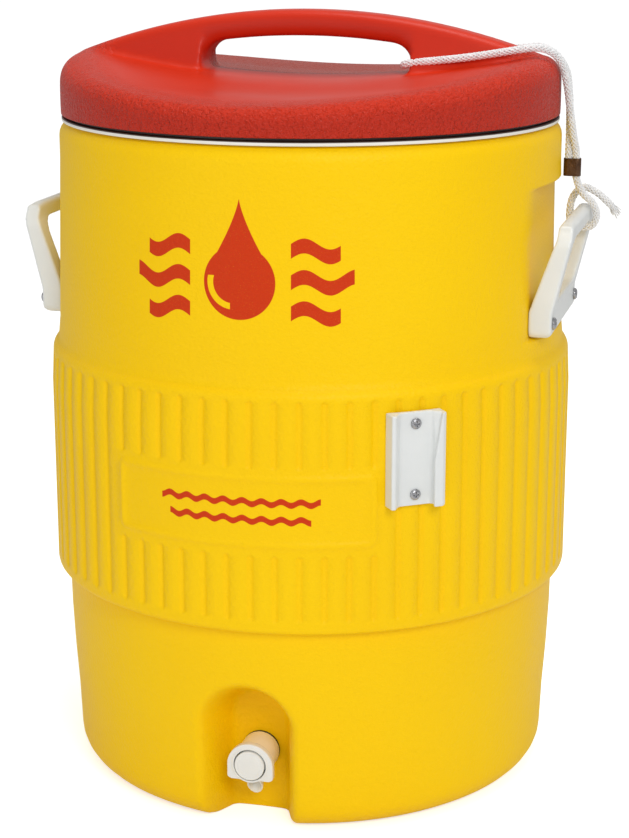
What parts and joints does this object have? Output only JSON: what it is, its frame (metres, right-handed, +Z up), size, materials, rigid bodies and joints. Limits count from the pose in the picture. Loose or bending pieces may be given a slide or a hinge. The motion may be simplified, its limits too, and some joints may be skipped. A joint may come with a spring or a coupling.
{
  "type": "insulated water jug",
  "caption": "Large round insulated drinking-water jug with a lift-off handled lid, side handles, ribbed band, push-button tap, cup bracket and lid lanyard.",
  "frame": {"origin": "centre of the base, on the floor under the tank's axis", "axes": "+Z up, the tap faces -Y, side handles at +X and -X, the cord is on the +X side"},
  "size_m": [0.4076, 0.376, 0.545],
  "materials": {
    "yellow_shell": "moulded polyethylene, faint leather grain, satin",
    "foam": "rigid insulating foam",
    "white_liner": "smooth moulded polyethylene",
    "red_lid": "moulded polyethylene, pebbled leather grain round the rim, smoother on the handle",
    "white_handle": "satin moulded plastic",
    "white_bracket": "satin moulded plastic",
    "screw_steel": "stainless steel",
    "tap_cream": "slightly translucent cream plastic",
    "tap_white": "glossy white plastic",
    "spring_steel": "stainless spring wire",
    "seal_rubber": "matt moulded rubber",
    "braided_cord": "braided white cord",
    "ferrule_metal": "dark bronzed crimp sleeve"
  },
  "bodies": {
    "root": {"outer_shell": "yellow_shell", "foam_insulation": "foam", "inner_liner": "white_liner", "liner_rim": "white_liner", "side_handle_left": "white_handle", "side_handle_right": "white_handle", "handle_screws_left": "screw_steel", "handle_screws_right": "screw_steel", "cup_bracket": "white_bracket", "cup_bracket_screws": "screw_steel", "spigot_body": "tap_cream", "spigot_cap": "tap_white", "spigot_spring": "spring_steel", "spigot_nut": "tap_white", "spigot_washer_outer": "seal_rubber", "spigot_washer_inner": "seal_rubber", "lanyard_cord": "braided_cord", "lanyard_ferrule": "ferrule_metal"},
    "lid": {"lid_shell": "red_lid", "lid_foam": "foam", "lid_liner": "white_liner"},
    "button": {"spigot_button": "tap_white", "spigot_stem": "tap_white", "spigot_seal": "seal_rubber"}
  },
  "joints": [
    {"name": "lid_lift", "type": "slide", "parent": "root", "child": "lid", "axis": [0, 0, 1], "range_m": [0, 0.08], "deforming": ["lanyard_cord"]},
    {"name": "button_press", "type": "slide", "parent": "root", "child": "button", "axis": [0, 1, 0], "range_m": [0, 0.005], "stiffness_N_per_m": 600, "springref_m": -0.003, "deforming": ["spigot_spring"]}
  ]
}
